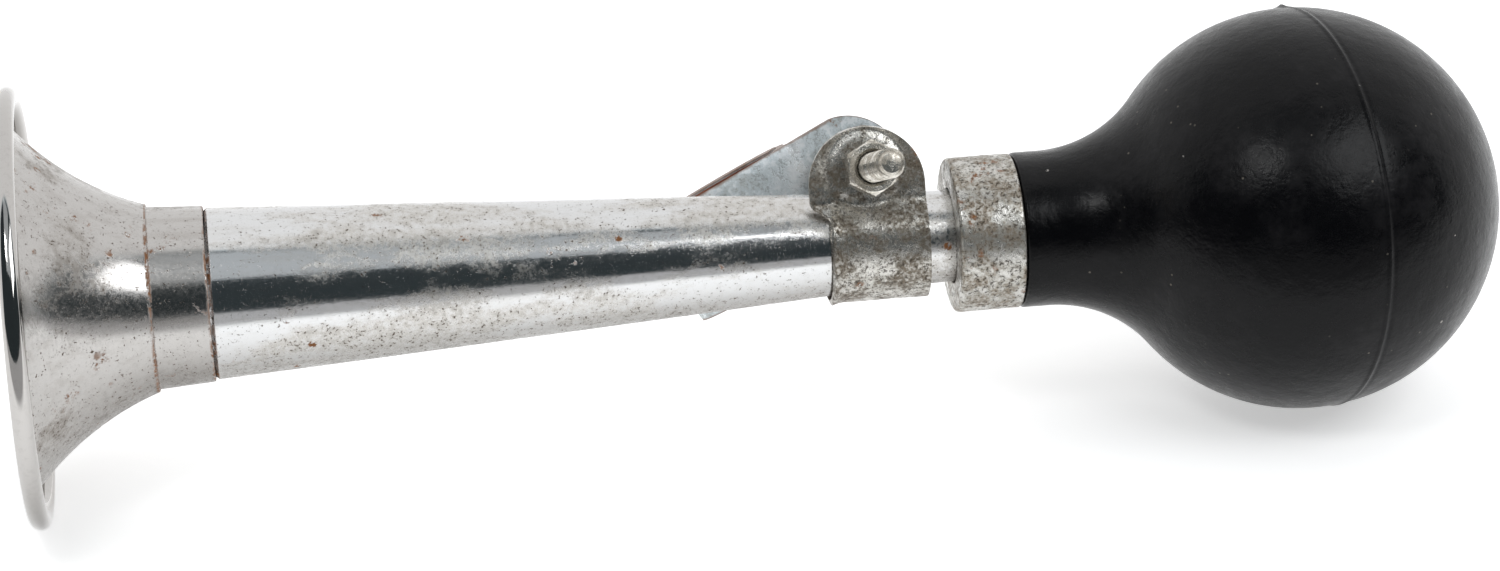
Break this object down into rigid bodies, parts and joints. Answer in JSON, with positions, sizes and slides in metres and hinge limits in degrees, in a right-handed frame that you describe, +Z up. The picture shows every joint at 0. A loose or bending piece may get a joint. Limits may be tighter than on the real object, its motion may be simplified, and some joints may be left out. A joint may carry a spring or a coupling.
{
  "type": "bicycle bulb horn",
  "caption": "Bicycle squeeze horn: flared metal bell on a conical tube, rubber squeeze bulb, reed inside, and a bolted clip with a handlebar strap.",
  "frame": {"origin": "middle of the base of the whole object's box, on the floor that the horn lies on", "axes": "+X along the horn from the bell to the bulb, +Y away from the side with the clamp's nut, +Z up"},
  "size_m": [0.241, 0.0728, 0.0707],
  "materials": {
    "bell_chrome": "worn, with small rust spots",
    "tube_chrome": "bright, lightly pitted",
    "rim_wire_steel": "plain drawn wire",
    "washer_fibre": "dark grey, matt",
    "ferrule_zinc": "tarnished zinc plate with brown pitting",
    "bulb_rubber": "satin black",
    "reed_brass": "plain",
    "clip_zinc": "tarnished zinc plate with brown pitting",
    "fastener_zinc": "dull zinc plate",
    "strap_zinc": "bluish zinc plate, brown at the edges",
    "liner_fibre": "red-brown, matt"
  },
  "bodies": {
    "horn": {"bell_flare": "bell_chrome", "rim_wire": "rim_wire_steel", "horn_tube": "tube_chrome", "neck_washer": "washer_fibre", "bulb_ferrule": "ferrule_zinc", "bulb_front": "bulb_rubber", "reed_holder": "reed_brass", "reed_shallot": "reed_brass", "reed_wedge": "reed_brass"},
    "bulb_back": {"bulb_rear": "bulb_rubber"},
    "tongue": {"reed_tongue": "reed_brass"},
    "clip": {"tube_clip": "clip_zinc", "swivel_washer": "fastener_zinc"},
    "bolt": {"clamp_bolt": "fastener_zinc", "bolt_washer": "fastener_zinc"},
    "nut": {"clamp_nut": "fastener_zinc"},
    "strap": {"handlebar_strap": "strap_zinc", "strap_liner": "liner_fibre"}
  },
  "joints": [
    {"name": "bulb_squeeze", "type": "slide", "parent": "horn", "child": "bulb_back", "axis": [-0.9999, 0, 0.0131], "range_m": [0, 0.018], "stiffness_N_per_m": 800, "deforming": ["bulb_front"]},
    {"name": "tongue_beat", "type": "hinge", "parent": "horn", "child": "tongue", "pos_m": [0.05179, -0.00103, 0.03485], "axis": [0, 1, 0], "range_deg": [-1, 1.6], "stiffness_Nm_per_rad": 0.02},
    {"name": "clip_turn", "type": "hinge", "parent": "horn", "child": "clip", "pos_m": [0.01857, -0.00103, 0.03358], "axis": [0.9999, 0, -0.0131], "continuous": true},
    {"name": "bolt_turn", "type": "hinge", "parent": "clip", "child": "bolt", "pos_m": [0.0166, 0.00428, 0.04381], "axis": [0.0584, -0.8858, 0.4604], "continuous": true},
    {"name": "nut_turn", "type": "hinge", "parent": "bolt", "child": "nut", "pos_m": [0.0166, 0.00428, 0.04381], "axis": [0.0584, -0.8858, 0.4604], "continuous": true},
    {"name": "strap_swing", "type": "hinge", "parent": "clip", "child": "strap", "pos_m": [0.0166, 0.00428, 0.04381], "axis": [0.0584, -0.8858, 0.4604], "range_deg": [-160, 68]}
  ]
}
